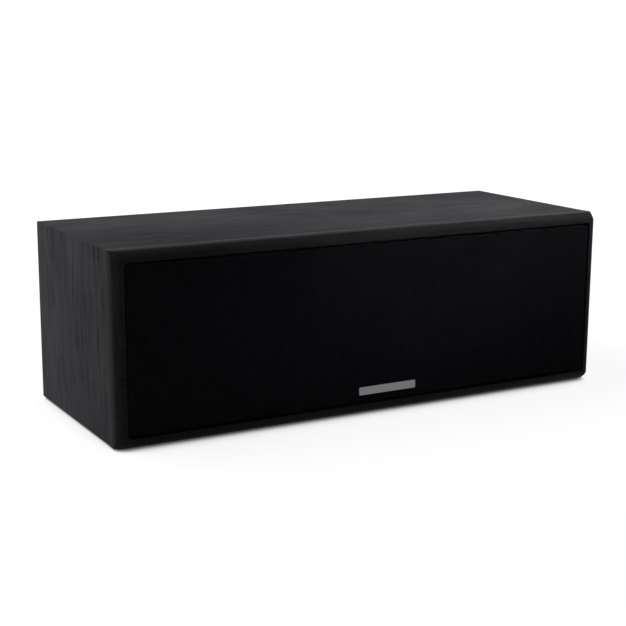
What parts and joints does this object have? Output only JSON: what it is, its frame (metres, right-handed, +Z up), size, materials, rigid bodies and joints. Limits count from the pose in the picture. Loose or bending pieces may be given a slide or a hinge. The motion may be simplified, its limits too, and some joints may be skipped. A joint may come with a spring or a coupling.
{
  "type": "center channel speaker",
  "caption": "Wide, low black loudspeaker: wood-grain wrapped cabinet with a rolled-edge baffle, pull-off cloth grille, woofers either side of a dome tweeter, rear port and terminals.",
  "frame": {"origin": "on the floor, under the middle of the speaker's box", "axes": "+X along the width, to the right seen from the front; +Y from the grille to the rear panel; +Z up"},
  "size_m": [0.45, 0.177, 0.1515],
  "materials": {
    "vinyl_wrap": "black wood-grain film, satin",
    "baffle_finish": "satin black",
    "rear_board": "matt black",
    "grille_cloth": "black knit",
    "grille_frame": "moulded black",
    "rubber": "matt",
    "basket_steel": "black stoved paint",
    "cone_paper": "coated paper",
    "dust_cap": "pressed cloth, coated",
    "spider_cloth": "resin-dipped cloth",
    "coil_copper": "enamelled copper",
    "motor_steel": "plated can",
    "faceplate": "fine texture",
    "dome_silk": "coated silk",
    "screw_steel": "black",
    "terminal_plastic": "moulded black",
    "brass": "plated",
    "red_knob": "red",
    "black_knob": "black",
    "board": "bare board",
    "capacitor": "film sleeve",
    "resistor": "ceramic",
    "wadding": "polyester fibre",
    "lead": "twin lead",
    "tag": "laminate"
  },
  "bodies": {
    "cabinet": {"cabinet_sleeve": "vinyl_wrap", "front_baffle": "baffle_finish", "rear_panel": "rear_board", "rubber_feet": "rubber", "grille_sockets": "rubber", "woofer_baskets": "basket_steel", "woofer_surrounds": "rubber", "woofer_spiders": "spider_cloth", "woofer_motors": "motor_steel", "woofer_screws": "screw_steel", "tweeter_faceplate": "faceplate", "tweeter_screws": "screw_steel", "tweeter_surround": "dome_silk", "tweeter_motor": "motor_steel", "driver_tag_strips": "tag", "woofer_left_lead": "lead", "woofer_right_lead": "lead", "tweeter_lead": "lead", "terminal_cup": "terminal_plastic", "terminal_screws": "screw_steel", "binding_studs": "brass", "stud_nuts": "brass", "crossover_board": "board", "woofer_inductor": "coil_copper", "tweeter_inductor": "coil_copper", "capacitors": "capacitor", "resistor": "resistor", "port_tube": "terminal_plastic", "damping_wadding": "wadding"},
    "woofer_left_moving": {"woofer_left_cone": "cone_paper", "woofer_left_dust_cap": "dust_cap", "woofer_left_voice_coil": "coil_copper"},
    "woofer_right_moving": {"woofer_right_cone": "cone_paper", "woofer_right_dust_cap": "dust_cap", "woofer_right_voice_coil": "coil_copper"},
    "tweeter_moving": {"tweeter_dome": "dome_silk"},
    "grille": {"grille_frame": "grille_frame", "grille_cloth": "grille_cloth"},
    "red_post_insert": {"red_knob_insert": "brass"},
    "red_post_cap": {"red_knob": "red_knob"},
    "black_post_insert": {"black_knob_insert": "brass"},
    "black_post_cap": {"black_knob": "black_knob"}
  },
  "joints": [
    {"name": "woofer_left_travel", "type": "slide", "parent": "cabinet", "child": "woofer_left_moving", "axis": [0, -1, 0], "range_m": [-0.003, 0.003], "stiffness_N_per_m": 1500, "deforming": ["woofer_surrounds", "woofer_spiders"]},
    {"name": "woofer_right_travel", "type": "slide", "parent": "cabinet", "child": "woofer_right_moving", "axis": [0, -1, 0], "range_m": [-0.003, 0.003], "stiffness_N_per_m": 1500, "deforming": ["woofer_surrounds", "woofer_spiders"]},
    {"name": "tweeter_travel", "type": "slide", "parent": "cabinet", "child": "tweeter_moving", "axis": [0, -1, 0], "range_m": [-0.0003, 0.0003], "stiffness_N_per_m": 2500, "deforming": ["tweeter_surround"]},
    {"name": "grille_pull", "type": "slide", "parent": "cabinet", "child": "grille", "axis": [0, -1, 0], "range_m": [0, 0.03]},
    {"name": "red_post_lift", "type": "slide", "parent": "cabinet", "child": "red_post_insert", "axis": [0, 1, 0], "range_m": [0, 0.0021]},
    {"name": "red_post_turn", "type": "hinge", "parent": "red_post_insert", "child": "red_post_cap", "pos_m": [-0.0095, 0.0728, 0.0765], "axis": [0, 1, 0], "range_deg": [0, 1080]},
    {"name": "black_post_lift", "type": "slide", "parent": "cabinet", "child": "black_post_insert", "axis": [0, 1, 0], "range_m": [0, 0.0021]},
    {"name": "black_post_turn", "type": "hinge", "parent": "black_post_insert", "child": "black_post_cap", "pos_m": [0.0095, 0.0728, 0.0765], "axis": [0, 1, 0], "range_deg": [0, 1080]}
  ],
  "couplings": [
    {"joint": "red_post_turn", "follows": "red_post_lift", "rad_per_m": 8976},
    {"joint": "black_post_turn", "follows": "black_post_lift", "rad_per_m": 8976}
  ]
}
